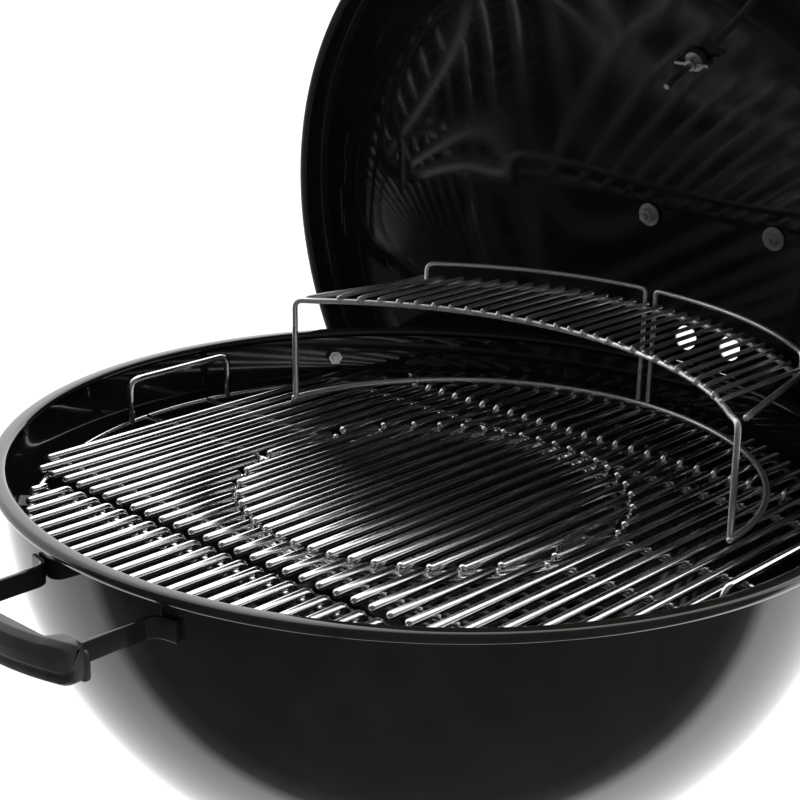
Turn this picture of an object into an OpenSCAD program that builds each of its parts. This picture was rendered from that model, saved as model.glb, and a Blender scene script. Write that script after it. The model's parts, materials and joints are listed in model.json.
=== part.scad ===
// Kettle charcoal grill with a lift-off lid standing in its holder.
// Kettle coordinates: bowl axis on Z, rim plane at z = 0, lid towards +Y, handle towards -Y.

/* [Bowl] */
// Height of the bowl rim above the floor
rim_height = 770; // [700:5:850]
// Outer radius of the rolled rim
rim_r = 291; // [288:0.5:294]
// Outer radius of the wall just under the rim
wall_r = 283.6; // [282:0.2:284]
// Depth of the bowl below the rim plane
bowl_depth = 277; // [265:1:285]
// Sheet thickness of bowl and lid
sheet = 1.6; // [1.2:0.1:2]

/* [Lid] */
// Distance of the lid opening's centre behind the bowl axis
lid_back = 168; // [166:0.5:172]
// Height of the lid opening's centre above the rim plane
lid_rise = 79; // [76:1:82]
// How far the top of the lid leans towards the cook, in degrees
lid_lean = 8.6; // [8:0.1:9]
// Outer radius of the lid flange
lid_r = 300; // [298:0.5:301]
// Depth of the lid from its opening to the top of the dome
lid_depth = 165; // [160:1:168]

/* [Grates] */
// Outer radius of the cooking grate
grate_r = 273.5; // [272:0.5:275]
// Depth of the cooking bars' centre line below the rim plane
grate_drop = 34; // [33:0.5:35]
// Distance from one cooking bar to the next
bar_pitch = 14.3; // [14:0.1:14.6]
// Diameter of a cooking bar
bar_d = 6; // [5:0.5:6.5]
// Distance of each flap hinge from the middle
hinge_y = 177; // [175:1:180]
// Radius of the ring round the insert hole
hole_ring_r = 134; // [133:0.5:136]
// Outer radius of the charcoal grate
charcoal_r = 209; // [200:1:209]

/* [Warming rack] */
// Height of the shelf wires above the rim plane
shelf_rise = 50; // [48:1:55]
// Distance from one shelf wire to the next
shelf_pitch = 12.2; // [12:0.1:14]

/* [Stand] */
// Outer diameter of a leg tube
leg_d = 25.4; // [24:0.2:26]
// Angle by which each leg leans outwards, in degrees
leg_splay = 11; // [9:0.5:12]
// Outer radius of a wheel
wheel_r = 82; // [76:1:86]
// Width of a wheel
wheel_w = 34; // [28:1:36]

/* [Hidden] */
$fn = 64;

// Clearances: between welded wires, between loose pieces, and in a running fit
weld_gap = 0.05;
loose_gap = 0.4;
run_gap = 0.06;

// Reach of the whole grill in front of and behind the bowl axis, which centres the frame
grip_front = 357;
lid_grip_d = 26;
lid_grip_z = 210;
back_reach = lid_back + lid_grip_z * cos(lid_lean) + lid_grip_d / 2;
bowl_y = (grip_front - back_reach) / 2;

// Bowl
wall_top = -10;
curve_h = bowl_depth + wall_top;
vent_in = 38;
vent_out = 104;
hub_r = 6;
bead_r = 3.6;
bolt_hole_d = 6.4;
enamel = "#161514";
nylon = "#202023";
zinc = "#b9bcc0";
wire_steel = "#d6d8da";

// Lid
skirt_r = 294.4;
skirt_h = 20;
dome_r = 288;
bolt_x = 58;
thermo_up = 139;
damper_up = -120;
damper_hole_off = 21;
damper_hole_r = 10;
damper_r = 46;
dome_bend = 420;
rivet_d = 6;
shield_z = lid_depth + 0.4;
washer_z = 157.4;
case_r = 32;
collar_d = 9;

// Lid holder
bracket_az = 58.5;
bolt_drop = 22;
rod_d = 9;
holder_x = 306;
holder_start_y = 190;
holder_depth = 164;
holder_drop = 36;
holder_sag = 28;

// Grate layers
frame_d = 5;
hinge_d = 4;
tie_y = 30;
frame_drop = grate_drop + bar_d / 2 + frame_d / 2 + loose_gap;
ring_r = 266.5;
cross_y = 140;
centre_end = hinge_y - 10;
last_bar = 16;
last_flap_bar = 13;
// the flap bars stop this much further in than the rest, so a swinging flap clears the wall
flap_inset = 2.3;
knuckle_bars = [-12, -5, 5, 12];
insert_r = 132.6;
insert_ring_r = 126;
loop_x = 261;
loop_half = 48;
loop_top = -6;
charcoal_drop = 181;
charcoal_pitch = 24;

// Warming rack
rack_wire = 4.4;
rack_foot_x = 197;
rack_foot_y = 62;
rack_base_drop = grate_drop - bar_d / 2 - rack_wire / 2 - loose_gap;
front_rail_r = 258;
front_rail_y = 148;
back_rail_r = 247;
back_rail_y = 243;
back_rail_x = 170.6;
back_corner = [172.6, 175.7, shelf_rise];
guard_rise = 64;

// Stand
socket_top_r = 166;
socket_top_z = -227;
// the legs stand at these angles from the front
leg_az = [0, 120, 240];
axle_z = wheel_r;
axle_d = 10;
leg_wall = 1.4;
leg_start = 42;
button_z = 60;
stand_drop = rim_height + socket_top_z;
wheel_leg_length = (stand_drop - axle_z) / cos(leg_splay) + 14;
front_leg_length = (stand_drop - 10) / cos(leg_splay);
foot_r = socket_top_r + stand_drop * tan(leg_splay);
axle_leg_r = socket_top_r + (stand_drop - axle_z) * tan(leg_splay);
axle_y = bowl_y + axle_leg_r * cos(60);
wheel_in = axle_leg_r * sin(60) + leg_d / 2 + 5;
axle_half = wheel_in + wheel_w + 3;
rack_z = 205;
rack_pitch = 42;

// Handle
strap_x = 49;
strap_h = 13;
strap_t = 3;
strap_front = -347.5;
strap_mid = -22.5;
grip_x = 57;

// Ash system
ash_r = 112;
ash_low = -302;
ash_top = bowl_z(ash_r, 0);
bucket_low = -430;
lug_angles = [30, 150, 270];
lug_turn = 18;
lever_az = 60;
lever_z = -287;
lever_swing = 42;
lever_reach = 226;

// ---------- helpers ----------

function unit(v) = v / norm(v);

function flip_x(p) = [-p[0], p[1], p[2]];

// Points of an arc in a plane, from angle a to angle b
function arc(cx, cy, r, a, b, n) =
    [for (i = [0:n]) let(t = a + (b - a) * i / n) [cx + r * cos(t), cy + r * sin(t)]];

// Bowl outline in (radius, height), sheet offset inwards by t
function bowl_curve(t, n = 26) =
    [for (i = [0:n]) let(a = 90 * i / n) [(wall_r - t) * cos(a), wall_top - (curve_h - t) * sin(a)]];

// Height of the bowl's surface at radius r, at offset t inside the outer surface
function bowl_z(r, t) = wall_top - (curve_h - t) * sqrt(1 - pow(r / (wall_r - t), 2));

// Lid outline in (radius, depth), sheet offset inwards by t
function dome_curve(t, n = 22) =
    [for (i = [0:n]) let(a = 90 * i / n)
        [(dome_r - t) * cos(a), skirt_h + (lid_depth - skirt_h - t) * sin(a)]];

// Depth of the dome's surface at radius r, at offset t inside the outer surface
function dome_z(r, t) = skirt_h + (lid_depth - skirt_h - t) * sqrt(1 - pow(r / (dome_r - t), 2));

// Rounded corner of a bent wire at b, coming from a and leaving to c
function corner(a, b, c, r, n = 5) =
    let(u = unit(a - b), v = unit(c - b), half = acos(u * v) / 2, mid = b + unit(u + v) * r / sin(half),
        p = unit(b + u * r / tan(half) - mid), q = unit(b + v * r / tan(half) - mid), turn = acos(p * q))
    [for (i = [0:n]) mid + r * (p * sin(turn * (1 - i / n)) + q * sin(turn * i / n)) / sin(turn)];

// Path through corner points, each inner one rounded to radius r
function bent(pts, r) = [pts[0], for (i = [1:len(pts) - 2]) each corner(pts[i - 1], pts[i], pts[i + 1], r),
    pts[len(pts) - 1]];

// Round wire along a path; ref is a direction that the path never follows
module wire(path, d, ref, sides = 10) {
    last = len(path) - 1;
    rings = [for (i = [0:last])
        let(t = unit(path[min(i + 1, last)] - path[max(i - 1, 0)]), u = unit(cross(t, ref)), v = cross(t, u))
        for (k = [0:sides - 1]) path[i] + d / 2 * (u * cos(360 * k / sides) + v * sin(360 * k / sides))];
    sides_faces = [for (i = [0:last - 1], k = [0:sides - 1])
        let(a = i * sides + k, b = i * sides + (k + 1) % sides) [a, a + sides, b + sides, b]];
    caps = [[for (k = [0:sides - 1]) k], [for (k = [sides - 1:-1:0]) last * sides + k]];
    polyhedron(rings, concat(sides_faces, caps), convexity = 6);
}

// Straight rod between two points
module rod(a, b, d) {
    run = b - a;
    translate(a)
        rotate([0, acos(run[2] / norm(run)), atan2(run[1], run[0])])
            cylinder(h = norm(run), d = d);
}

// Horizontal arc of round wire, from angle a to angle b about the Z axis
module ring_wire(r, d, z, a = 0, b = 360) {
    translate([0, 0, z])
        rotate([0, 0, a])
            rotate_extrude(angle = b - a, $fn = 180)
                translate([r, 0])
                    circle(d = d, $fn = 24);
}

module kettle_frame() translate([0, bowl_y, rim_height]) children();

// Lid coordinates: opening in the z = 0 plane, dome towards +z, top of the lid towards +y
module lid_frame()
    kettle_frame()
        translate([0, lid_back, lid_rise])
            rotate([lid_lean - 90, 0, 0])
                rotate([0, 0, 180])
                    children();

// Tilt of the dome's normal at height up from the lid's middle
function dome_tilt(up) =
    -atan((lid_depth - skirt_h) * up / pow(dome_r, 2) / sqrt(1 - pow(up / dome_r, 2)));

// Frame on the dome's outer surface at height up, with z along the dome's normal
module on_dome(up)
    translate([0, up, dome_z(abs(up), 0)]) rotate([dome_tilt(up), 0, 0]) children();

// Solid that fills the bowl's outline at offset t
module bowl_fill(t) rotate_extrude($fn = 180) polygon(concat([[0, wall_top]], bowl_curve(t)));

// Leg coordinates: z down the leg from the point where its axis meets the bowl, y outwards
module leg_frame(az)
    kettle_frame()
        rotate([0, 0, az])
            translate([0, -socket_top_r, socket_top_z])
                rotate([180 - leg_splay, 0, 0])
                    children();

// ---------- bowl and stand ----------

module bowl() {
    color(enamel) kettle_frame() difference() {
        // turned so that the seam of the revolved shape lies between the vents
        rotate([0, 0, 60]) rotate_extrude($fn = 180) polygon(concat(
            [for (i = [26:-1:0]) bowl_curve(0)[i]],
            [[wall_r, -2 * bead_r]],
            arc(rim_r - bead_r, -bead_r, bead_r, -90, 90, 10),
            arc(wall_r - 0.4, -bead_r, bead_r, 90, 180, 6),
            [[wall_r - sheet, -6]],
            bowl_curve(sheet)));
        translate([0, 0, -bowl_depth - 5]) cylinder(r = hub_r + run_gap, h = 30);
        for (az = [0, 120, 240]) rotate([0, 0, az - 20]) translate([0, 0, -bowl_depth - 5])
            linear_extrude(60) polygon(concat(arc(0, 0, vent_in, 0, 40, 6), arc(0, 0, vent_out, 40, 0, 10)));
        for (side = [-1, 1]) rotate([0, 0, side * bracket_az]) translate([0, wall_r - 12, -bolt_drop])
            rotate([-90, 0, 0]) cylinder(d = bolt_hole_d, h = 24);
    }
}

module leg_sockets() {
    color(enamel) for (az = leg_az) difference() {
        leg_frame(az) difference() {
            translate([0, 0, -30]) cylinder(d = leg_d + 5, h = 115);
            translate([0, 0, -31]) cylinder(d = leg_d + 2 * run_gap, h = 117);
            translate([0, 8, button_z]) rotate([-90, 0, 0]) cylinder(d = 7, h = 10);
        }
        kettle_frame() bowl_fill(-weld_gap);
    }
}

module leg_tube(length) {
    difference() {
        translate([0, 0, leg_start]) cylinder(d = leg_d, h = length - leg_start);
        translate([0, 0, leg_start - 1]) cylinder(d = leg_d - 2 * leg_wall, h = length - leg_start + 2);
        translate([0, 8, button_z]) rotate([-90, 0, 0]) cylinder(d = 7, h = 10);
    }
}

module wheel_leg(az) {
    color(zinc) difference() {
        leg_frame(az) leg_tube(wheel_leg_length);
        translate([-axle_half, axle_y, axle_z]) rotate([0, 90, 0])
            cylinder(d = axle_d + 2 * run_gap, h = 2 * axle_half);
    }
}

module leg_front() color(zinc) leg_frame(0) leg_tube(front_leg_length);
module leg_left() wheel_leg(240);
module leg_right() wheel_leg(120);

module leg_buttons() {
    color(zinc) for (az = leg_az) leg_frame(az) translate([0, leg_d / 2 - 1.3, button_z])
        rotate([-90, 0, 0]) cylinder(d = 6.6, h = 5);
}

module foot_cap() {
    color(nylon) intersection() {
        leg_frame(0) difference() {
            translate([0, 0, front_leg_length - 34]) cylinder(d = leg_d + 8, h = 60);
            translate([0, 0, front_leg_length - 60]) cylinder(d = leg_d + 2 * run_gap, h = 60);
        }
        translate([-40, bowl_y - foot_r - 40, 0]) cube([80, 80, 60]);
    }
}

module axle()
    color(zinc) translate([-axle_half, axle_y, axle_z]) rotate([0, 90, 0])
        cylinder(d = axle_d, h = 2 * axle_half);

// Point beside a leg at height z above the floor, inset towards the bowl axis
function leg_point(az, z, inset) =
    let(r = socket_top_r + (rim_height + socket_top_z - z) * tan(leg_splay) - inset)
    [r * sin(az), bowl_y - r * cos(az), z];

module bottom_rack() {
    rail = 6;
    bar = 4;
    rest_z = rack_z + rail / 2 + bar / 2 + weld_gap;
    corners = [for (az = leg_az) leg_point(az, rack_z, leg_d / 2 + 9)];
    front = corners[0][1];
    back = corners[1][1];
    half = corners[1][0];
    color(wire_steel) {
        for (i = [0:2]) let(a = corners[i], b = corners[(i + 1) % 3], u = unit(b - a))
            rod(a + u * 7, b - u * 7, rail);
        // a stub at each corner reaches the leg
        for (i = [0:2]) let(p = leg_point(leg_az[i], rack_z, leg_d / 2 + 0.9), q = corners[i])
            rod(p, q + unit(p - q) * 2, rail);
        for (k = [-4:4]) let(x = k * rack_pitch, nose = front + (back - front) * abs(x) / half + 4)
            rod([x, nose, rest_z], [x, back, rest_z], bar);
    }
}

module ash_ring() {
    color(zinc) kettle_frame() difference() {
        union() {
            difference() {
                translate([0, 0, ash_low]) cylinder(r = ash_r, h = ash_top - ash_low + 6);
                translate([0, 0, ash_low - 1]) cylinder(r = ash_r - sheet, h = ash_top - ash_low + 20);
            }
            for (a = lug_angles) rotate([0, 0, a]) rotate_extrude(angle = lug_turn)
                translate([ash_r - 0.8, ash_low]) square([5.3, 2]);
        }
        bowl_fill(-weld_gap);
        // slot that the lever swings in
        rotate([0, 0, lever_az - 90 - lever_swing]) rotate_extrude(angle = 2 * lever_swing)
            translate([ash_r - 6, lever_z - 5]) square([20, 12]);
    }
}

// Point of the holder rod's curve behind the lid, at angle t
function holder_point(t) =
    [holder_x * cos(t), holder_start_y + holder_depth * sin(t), -holder_drop - holder_sag * sin(t)];

module lid_holder() {
    out = wall_r + 3.4;
    curve = [for (i = [2:28]) holder_point(180 - 6 * i)];
    start = [-out * sin(bracket_az), out * cos(bracket_az), -holder_drop];
    bend = corner(start, holder_point(180), curve[0], 14);
    color(enamel) kettle_frame()
        wire(concat([start], bend, curve, [for (i = [5:-1:0]) flip_x(bend[i])], [flip_x(start)]),
            rod_d, [0, 0, 1], 12);
}

module holder_brackets() {
    color(enamel) for (side = [-1, 1]) kettle_frame() rotate([0, 0, side * bracket_az]) difference() {
        translate([-14, wall_r + 0.1, -48]) cube([28, 3, 36]);
        translate([0, wall_r - 5, -bolt_drop]) rotate([-90, 0, 0]) cylinder(d = bolt_hole_d, h = 20);
    }
}

module holder_bolts() {
    color(zinc) for (side = [-1, 1]) kettle_frame() rotate([0, 0, side * bracket_az])
        translate([0, wall_r, -bolt_drop]) rotate([-90, 0, 0]) {
            translate([0, 0, 3.4]) cylinder(d = 12, h = 3);
            translate([0, 0, -9]) cylinder(d = 6, h = 13);
            translate([0, 0, -7.6]) cylinder(d = 11.5, h = 4.8, $fn = 6);
        }
}

module grate_tabs() {
    top = -frame_drop - frame_d / 2 - loose_gap;
    color(enamel) kettle_frame() intersection() {
        bowl_fill(sheet + weld_gap);
        for (az = [45, 135, 225, 315]) rotate([0, 0, az]) {
            translate([260, -9, top - 2]) cube([30, 18, 2]);
            translate([270, -1.5, top - 22]) cube([20, 3, 21]);
        }
    }
}

// Outline of the right half of the handle strap, from the wall plate out to the grip
module strap_half() {
    wall_gap = wall_r + 0.3;
    plate_y = -sqrt(pow(wall_gap + 1.5, 2) - pow(strap_x - strap_t / 2, 2));
    linear_extrude(strap_h) {
        intersection() {
            difference() {
                circle(r = wall_gap + strap_t, $fn = 180);
                circle(r = wall_gap, $fn = 180);
            }
            translate([strap_x - strap_t, -320]) square([18, 80]);
        }
        translate([strap_x - strap_t, strap_front]) square([strap_t, plate_y - strap_front]);
        translate([-0.01, strap_front]) square([strap_x, strap_t]);
    }
}

module handle_strap() {
    color(enamel) kettle_frame() translate([0, 0, strap_mid - strap_h / 2]) {
        strap_half();
        mirror([1, 0, 0]) strap_half();
    }
}

module handle_grip() {
    slot = 0.3;
    front = [for (x = [-grip_x:3:grip_x]) [x, -grip_front + 0.0032 * x * x]];
    back = [[grip_x, -332], [41, -332], [37, -340], [-37, -340], [-41, -332], [-grip_x, -332]];
    color(nylon) kettle_frame() difference() {
        translate([0, 0, strap_mid - 12]) linear_extrude(24) polygon(concat(front, back));
        translate([-strap_x - slot, strap_front - slot, strap_mid - strap_h / 2 - slot])
            cube([2 * strap_x + 2 * slot, strap_t + 2 * slot, strap_h + 2 * slot]);
        for (s = [-1, 1]) translate([s * (strap_x - strap_t / 2) - strap_t / 2 - slot, strap_front - slot,
            strap_mid - strap_h / 2 - slot]) cube([strap_t + 2 * slot, 60, strap_h + 2 * slot]);
        for (s = [-1, 1]) translate([s * 20, -342.8, strap_mid]) rotate([-90, 0, 0]) cylinder(d = 8.4, h = 8);
    }
}

module grip_screws() {
    color(zinc) for (s = [-1, 1]) kettle_frame() translate([s * 20, -342.5, strap_mid])
        rotate([-90, 0, 0]) cylinder(d = 8, h = 3);
}

// ---------- lid ----------

module lid_shell() {
    color(enamel) lid_frame() difference() {
        rotate_extrude($fn = 180) polygon(concat(
            [[skirt_r, 3], [lid_r - 1.5, 3], [lid_r, 1.5], [lid_r - 1.5, 0], [skirt_r - sheet, 0]],
            [[skirt_r - sheet, skirt_h - sheet], [dome_r - sheet, skirt_h - sheet]],
            dome_curve(sheet),
            [for (i = [22:-1:0]) dome_curve(0)[i]],
            [[skirt_r, skirt_h]]));
        for (s = [-1, 1]) translate([s * bolt_x, 0, lid_depth - 60]) cylinder(d = bolt_hole_d, h = 80);
        on_dome(thermo_up) translate([0, 0, -20]) cylinder(d = 11, h = 40);
        on_dome(damper_up) {
            translate([0, 0, -20]) cylinder(d = rivet_d + 0.4, h = 40);
            for (x = [-1, 1], y = [-1, 1]) translate([x * damper_hole_off, y * damper_hole_off, -20])
                cylinder(r = damper_hole_r, h = 40);
        }
    }
}

module heat_shield() {
    color(zinc) lid_frame() difference() {
        translate([-75, -26, shield_z]) cube([150, 52, 1]);
        for (s = [-1, 1]) translate([s * bolt_x, 0, shield_z - 1]) cylinder(d = bolt_hole_d, h = 3);
    }
}

module lid_handle() {
    post_z = shield_z + 1 + weld_gap;
    color(nylon) lid_frame() difference() {
        union() {
            for (s = [-1, 1]) translate([s * bolt_x, 0, post_z]) cylinder(d = 21, h = lid_grip_z - post_z);
            translate([-72, 0, lid_grip_z]) rotate([0, 90, 0]) cylinder(d = lid_grip_d, h = 144);
        }
        for (s = [-1, 1]) translate([s * bolt_x, 0, post_z - 1]) cylinder(d = bolt_hole_d, h = 26);
    }
}

module lid_bolts() {
    color(zinc) lid_frame() for (s = [-1, 1]) translate([s * bolt_x, 0, 0]) {
        translate([0, 0, washer_z - 9]) cylinder(d = 6, h = 38);
        translate([0, 0, washer_z]) cylinder(d = 19, h = 1.2);
        translate([0, 0, washer_z - 5]) cylinder(d = 11.5, h = 5.2, $fn = 6);
    }
}

module thermometer_case() {
    color(zinc) lid_frame() on_dome(thermo_up) difference() {
        translate([0, 0, 2]) cylinder(r = case_r, h = 14);
        translate([0, 0, 5]) cylinder(r = case_r - 2.5, h = 12);
        translate([0, 0, 1]) cylinder(d = collar_d + 0.6, h = 6);
    }
}

module thermometer_dial() {
    color("white") lid_frame() on_dome(thermo_up) {
        translate([0, 0, 5.1]) cylinder(r = case_r - 2.8, h = 0.8);
        translate([0, 0, 5.5]) cylinder(d = 2, h = 3.5);
    }
}

module thermometer_needle() {
    color("firebrick") lid_frame() on_dome(thermo_up) translate([0, 0, 7]) difference() {
        union() {
            cylinder(r = 3.2, h = 0.8);
            translate([-0.9, -6, 0]) cube([1.8, 28, 0.8]);
        }
        translate([0, 0, -1]) cylinder(d = 2 + 2 * run_gap, h = 3);
    }
}

module thermometer_glass()
    color("lightcyan", 0.4) lid_frame() on_dome(thermo_up) translate([0, 0, 12])
        cylinder(r = case_r - 2.8, h = 2.2);

module thermometer_stem() {
    color(zinc) lid_frame() on_dome(thermo_up) {
        translate([0, 0, -16]) cylinder(d = collar_d, h = 20.8);
        translate([0, 0, -48]) cylinder(d = 4.5, h = 33);
    }
}

module thermometer_nut() {
    color(zinc) lid_frame() on_dome(thermo_up) difference() {
        union() {
            translate([0, 0, -10]) cylinder(d = 16, h = 6);
            translate([-15, -1.2, -14]) cube([30, 2.4, 8]);
        }
        translate([0, 0, -20]) cylinder(d = collar_d + 0.3, h = 20);
    }
}

// Dished disc that follows the dome at distance out
module lid_damper() {
    color(zinc) lid_frame() on_dome(damper_up) difference() {
        union() {
            rotate_extrude() polygon(concat(
                [for (i = [0:8]) [damper_r * i / 8, 1.2 - pow(damper_r * i / 8, 2) / 2 / dome_bend]],
                [for (i = [8:-1:0]) [damper_r * i / 8, 2.4 - pow(damper_r * i / 8, 2) / 2 / dome_bend]]));
            translate([-7, damper_r - 6, -0.4]) cube([14, 16, 10.4]);
        }
        translate([-8, damper_r - 4.5, -3]) cube([16, 20, 3.2]);
        translate([-8, damper_r - 4.5, 2]) cube([16, 12.8, 12]);
        translate([-8, damper_r - 7, 2.2]) cube([16, 4, 12]);
        translate([0, 0, -5]) cylinder(d = rivet_d + 2 * run_gap, h = 20);
        for (x = [-1, 1], y = [-1, 1]) translate([x * damper_hole_off, y * damper_hole_off, -8])
            cylinder(r = damper_hole_r + 0.5, h = 20);
    }
}

module damper_rivet() {
    color(zinc) lid_frame() on_dome(damper_up) {
        translate([0, 0, -4]) cylinder(d = rivet_d, h = 8);
        translate([0, 0, 3]) cylinder(d = 13, h = 2);
        translate([0, 0, -4.5]) cylinder(d = 11, h = 1.8);
    }
}

// ---------- cooking grate ----------

// Half the chord of a circle of radius r at distance d from its middle
function chord(r, d) = sqrt(max(0, r * r - d * d));

module grate_frame() {
    edge = asin(hinge_y / ring_r);
    color(wire_steel) kettle_frame() {
        for (a = [0, 180]) ring_wire(ring_r, frame_d, -frame_drop, a - edge, a + edge);
        ring_wire(hole_ring_r, frame_d, -frame_drop);
        for (s = [-1, 1]) {
            rod([-chord(ring_r, hinge_y), s * hinge_y, -frame_drop],
                [chord(ring_r, hinge_y), s * hinge_y, -frame_drop], hinge_d);
            rod([-chord(ring_r, cross_y), s * cross_y, -frame_drop],
                [chord(ring_r, cross_y), s * cross_y, -frame_drop], frame_d);
            for (y = [-tie_y, tie_y])
                rod([s * chord(hole_ring_r, y), y, -frame_drop],
                    [s * chord(ring_r, y), y, -frame_drop], frame_d);
            // loop handle at each side
            wire(bent([[s * loop_x, -loop_half, -frame_drop], [s * loop_x, -loop_half, loop_top],
                [s * loop_x, loop_half, loop_top], [s * loop_x, loop_half, -frame_drop]], 8),
                frame_d, [1, 0, 0]);
        }
    }
}

// Cooking bars of the middle section, left out over the insert hole
module grate_bars() {
    color(wire_steel) kettle_frame() for (k = [-last_bar:last_bar]) {
        x = k * bar_pitch;
        reach = min(centre_end, chord(grate_r, x));
        hole = chord(insert_r + 3.6, x);
        if (hole > 0)
            for (s = [-1, 1]) rod([x, s * hole, -grate_drop], [x, s * reach, -grate_drop], bar_d);
        else
            rod([x, -reach, -grate_drop], [x, reach, -grate_drop], bar_d);
    }
}

// Hinged flap on the side s: bars, a cross rod, an outer wire and knuckles round the hinge rod
module flap(s) {
    start = hinge_y + 2.6;
    half = 90 - asin((hinge_y + 9) / ring_r);
    color(wire_steel) kettle_frame() {
        for (k = [-last_flap_bar:last_flap_bar])
            let(x = k * bar_pitch, end = chord(grate_r - flap_inset, abs(x) + bar_d / 2))
            rod([x, s * start, -grate_drop], [x, s * end, -grate_drop], bar_d);
        ring_wire(ring_r, frame_d, -frame_drop + loose_gap - weld_gap, s * 90 - half, s * 90 + half);
        for (k = knuckle_bars) translate([k * bar_pitch - 3, s * hinge_y, -frame_drop]) difference() {
            union() {
                rotate([0, 90, 0]) cylinder(d = 10, h = 6);
                translate([0, s > 0 ? 0 : -7, 2.6]) cube([6, 7, 3.6]);
            }
            translate([-1, 0, 0]) rotate([0, 90, 0]) cylinder(d = hinge_d + 2 * run_gap, h = 8);
        }
    }
}
module flap_front() flap(-1);
module flap_back() flap(1);

module grate_insert() {
    color(wire_steel) kettle_frame() {
        for (k = [-9:9]) let(x = k * bar_pitch, reach = chord(insert_r, x))
            rod([x, -reach, -grate_drop], [x, reach, -grate_drop], bar_d);
        ring_wire(insert_ring_r, frame_d, -frame_drop + loose_gap - weld_gap);
    }
}

// ---------- warming rack ----------

// Height of a circular rail of radius r that passes through (0, top) in plan, at x
function rail_y(r, top, x) = top - r + sqrt(r * r - x * x);

module rack_frame() {
    z = shelf_rise;
    foot_z = -rack_base_drop;
    front = [for (i = [-14:14]) let(x = i * 13.2) [x, rail_y(front_rail_r, front_rail_y, x), z]];
    back = [for (i = [-14:14]) let(x = i * 11.64) [x, rail_y(back_rail_r, back_rail_y, x), z]];
    leg_top = [rack_foot_x, rack_foot_y - 2, z];
    leg_foot = [rack_foot_x, rack_foot_y, foot_z + rack_wire / 2 + weld_gap];
    side = [rack_foot_x - 2, rack_foot_y + 10, z];
    color(wire_steel) kettle_frame() {
        wire(concat([flip_x(leg_foot)], corner(flip_x(leg_foot), flip_x(leg_top), front[0], 6), front,
            corner(front[28], leg_top, leg_foot, 6), [leg_foot]), rack_wire, [0, 1, 0]);
        wire(concat([flip_x(side)], corner(flip_x(side), flip_x(back_corner), back[0], 12), back,
            corner(back[28], back_corner, side, 12), [side]), rack_wire, [0, 0, 1]);
        translate([0, rack_foot_y - 12, 0]) ring_wire(rack_foot_x + 1, rack_wire, foot_z, 3, 177);
    }
}

module rack_guards() {
    guard_r = back_rail_r + rack_wire + 0.4;
    guard_top = back_rail_y + rack_wire + 0.4;
    rail = [for (i = [1:13]) let(x = i * 12.1) [x, rail_y(guard_r, guard_top, x), guard_rise]];
    mid_top = [4.6, rail_y(guard_r, guard_top, 4.6), guard_rise];
    mid_low = [4.6, mid_top[1], -rack_base_drop + rack_wire / 2 + weld_gap];
    end_top = [back_rail_x, rail_y(guard_r, guard_top, back_rail_x), guard_rise];
    end_low = [end_top[0], end_top[1], shelf_rise - 2];
    right = concat([mid_low], corner(mid_low, mid_top, rail[0], 4), rail,
        corner(rail[12], end_top, end_low, 6), [end_low]);
    color(wire_steel) kettle_frame() {
        wire(right, 3.6, [0, 1, 0]);
        mirror([1, 0, 0]) wire(right, 3.6, [0, 1, 0]);
    }
}

module rack_shelf() {
    d = 3.2;
    z = shelf_rise + rack_wire / 2 + d / 2 + weld_gap;
    color(wire_steel) kettle_frame() for (k = [-14:14]) let(x = k * shelf_pitch)
        rod([x, rail_y(front_rail_r, front_rail_y, x) - 2.4, z],
            [x, rail_y(back_rail_r, back_rail_y, x) + 1.4, z], d);
}

// ---------- fuel and ash ----------

module charcoal_grate() {
    d = 6;
    under = -charcoal_drop - d - weld_gap;
    reach = 184;
    color(zinc) kettle_frame() {
        for (k = [-8:8]) let(y = k * charcoal_pitch, half = chord(charcoal_r, y))
            rod([-half, y, -charcoal_drop], [half, y, -charcoal_drop], d);
        ring_wire(charcoal_r - 9, d, under);
        for (x = [-70, 70]) rod([x, -reach, under], [x, reach, under], d);
    }
}

module sweeper() {
    blade_in = 12;
    blade_out = 118;
    rise = sheet + 0.7;
    steps = 12;
    function at(i) = blade_in + (blade_out - blade_in) * i / steps;
    hub_z = bowl_z(20, rise);
    color(zinc) kettle_frame() {
        for (az = [60, 180, 300]) rotate([0, 0, az - 22]) rotate_extrude(angle = 44)
            polygon(concat([for (i = [0:steps]) [at(i), bowl_z(at(i), rise)]],
                [for (i = [steps:-1:0]) [at(i), bowl_z(at(i), rise + 1.2)]]));
        translate([0, 0, hub_z]) cylinder(r = 20, h = 8);
        translate([0, 0, -bowl_depth - 16]) cylinder(r = hub_r, h = 24);
    }
}

module sweeper_lever() {
    color(zinc) kettle_frame() rotate([0, 0, lever_az]) difference() {
        union() {
            translate([0, 0, lever_z]) cylinder(r = 13, h = 6);
            translate([-6, -lever_reach, lever_z]) cube([12, lever_reach - 5, 3]);
        }
        translate([0, 0, lever_z - 1]) cylinder(r = hub_r + run_gap, h = 10);
    }
}

module lever_grip() {
    color(nylon) kettle_frame() rotate([0, 0, lever_az]) difference() {
        translate([-11, -lever_reach - 14, lever_z - 4.5]) cube([22, 54, 12]);
        translate([-6.2, -lever_reach - 0.2, lever_z - 0.2]) cube([12.4, 60, 3.4]);
    }
}

module ash_bucket() {
    inner = ash_r + 6;
    top = -293.5;
    color(zinc) kettle_frame() {
        difference() {
            translate([0, 0, bucket_low]) cylinder(r = inner + 1.2, h = top - bucket_low);
            translate([0, 0, bucket_low + 1.2]) cylinder(r = inner, h = top - bucket_low);
        }
        for (a = lug_angles) rotate([0, 0, a]) rotate_extrude(angle = lug_turn)
            translate([ash_r + 1, ash_low + 2 + loose_gap]) square([5.6, 2]);
    }
}

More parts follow.
